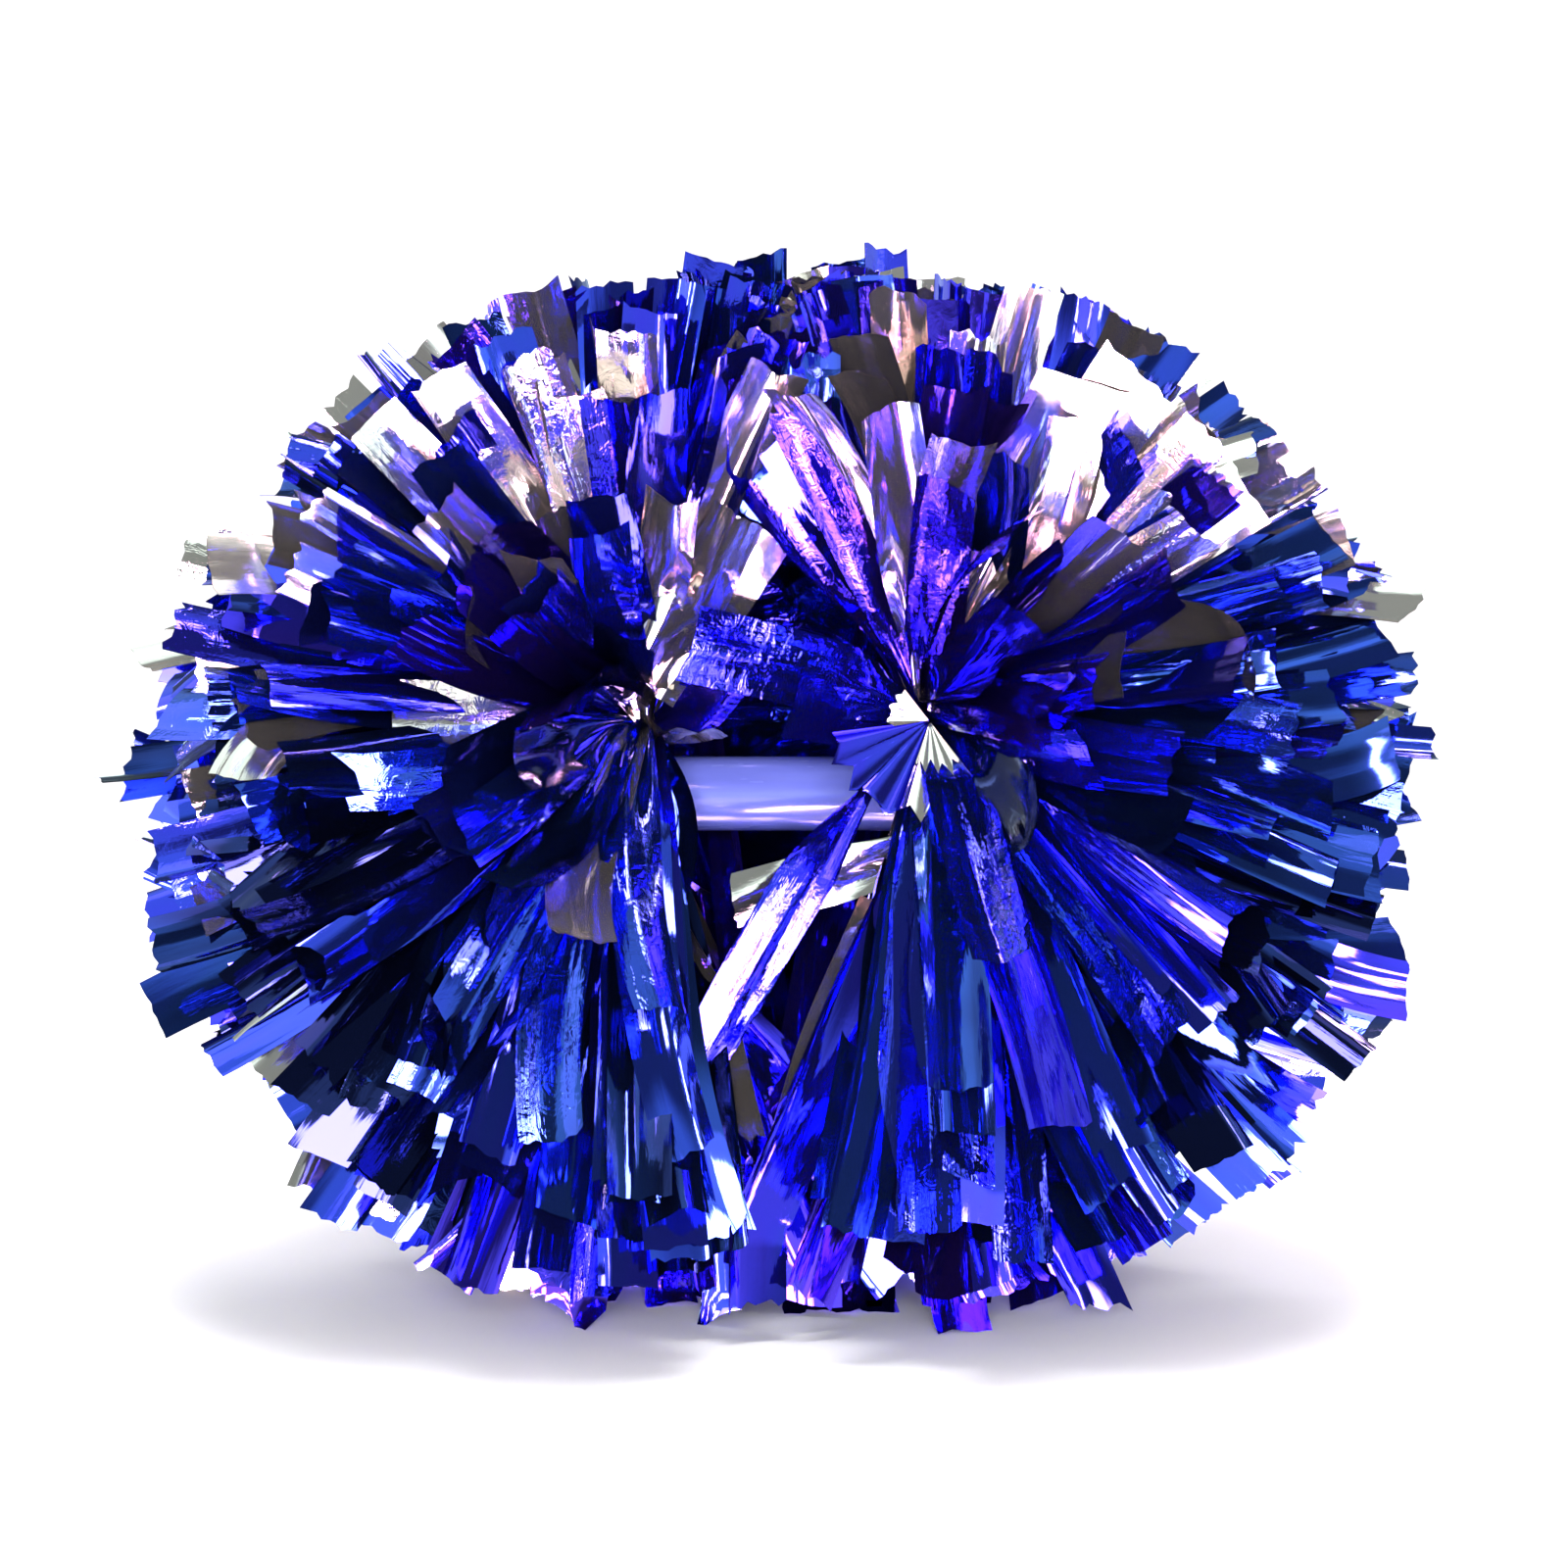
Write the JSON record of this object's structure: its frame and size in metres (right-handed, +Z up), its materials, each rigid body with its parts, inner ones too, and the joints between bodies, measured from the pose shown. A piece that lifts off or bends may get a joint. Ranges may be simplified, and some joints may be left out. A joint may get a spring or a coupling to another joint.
{
  "type": "cheer pom pom",
  "caption": "Cheer pom pom: crinkled metallic blue foil strips fan out from both ends of a straight baton handle, leaving a hand gap between the two heads.",
  "frame": {"origin": "on the surface that the pom rests on, straight below the middle of the handle", "axes": "+X along the handle towards the right head, -Y is the front, where the hand goes in, +Z up"},
  "size_m": [0.402, 0.334, 0.3257],
  "materials": {
    "handle_plastic": "smooth glossy periwinkle blue",
    "plug_plastic": "smooth glossy blue",
    "strand_foil": "metallised blue film, mirror-like and finely crumpled",
    "disc_plastic": "satin moulded plastic",
    "washer_steel": "zinc-plated steel",
    "screw_steel": "zinc-plated steel"
  },
  "bodies": {
    "handle": {"handle_tube": "handle_plastic", "left_end_plug": "plug_plastic", "left_washer": "washer_steel", "left_screw": "screw_steel", "right_end_plug": "plug_plastic", "right_washer": "washer_steel", "right_screw": "screw_steel"},
    "left_head": {"left_foil_core": "strand_foil", "left_foil_layer_1": "strand_foil", "left_foil_layer_2": "strand_foil", "left_foil_layer_3": "strand_foil", "left_foil_layer_4": "strand_foil", "left_foil_layer_5": "strand_foil", "left_foil_layer_6": "strand_foil", "left_foil_layer_7": "strand_foil", "left_clamp_disc": "disc_plastic"},
    "right_head": {"right_foil_core": "strand_foil", "right_foil_layer_1": "strand_foil", "right_foil_layer_2": "strand_foil", "right_foil_layer_3": "strand_foil", "right_foil_layer_4": "strand_foil", "right_foil_layer_5": "strand_foil", "right_foil_layer_6": "strand_foil", "right_foil_layer_7": "strand_foil", "right_clamp_disc": "disc_plastic"}
  },
  "joints": [
    {"name": "left_head_swivel", "type": "hinge", "parent": "handle", "child": "left_head", "pos_m": [-0.0465, 0, 0.158], "axis": [1, 0, 0], "continuous": true},
    {"name": "right_head_swivel", "type": "hinge", "parent": "handle", "child": "right_head", "pos_m": [0.0465, 0, 0.158], "axis": [1, 0, 0], "continuous": true}
  ]
}
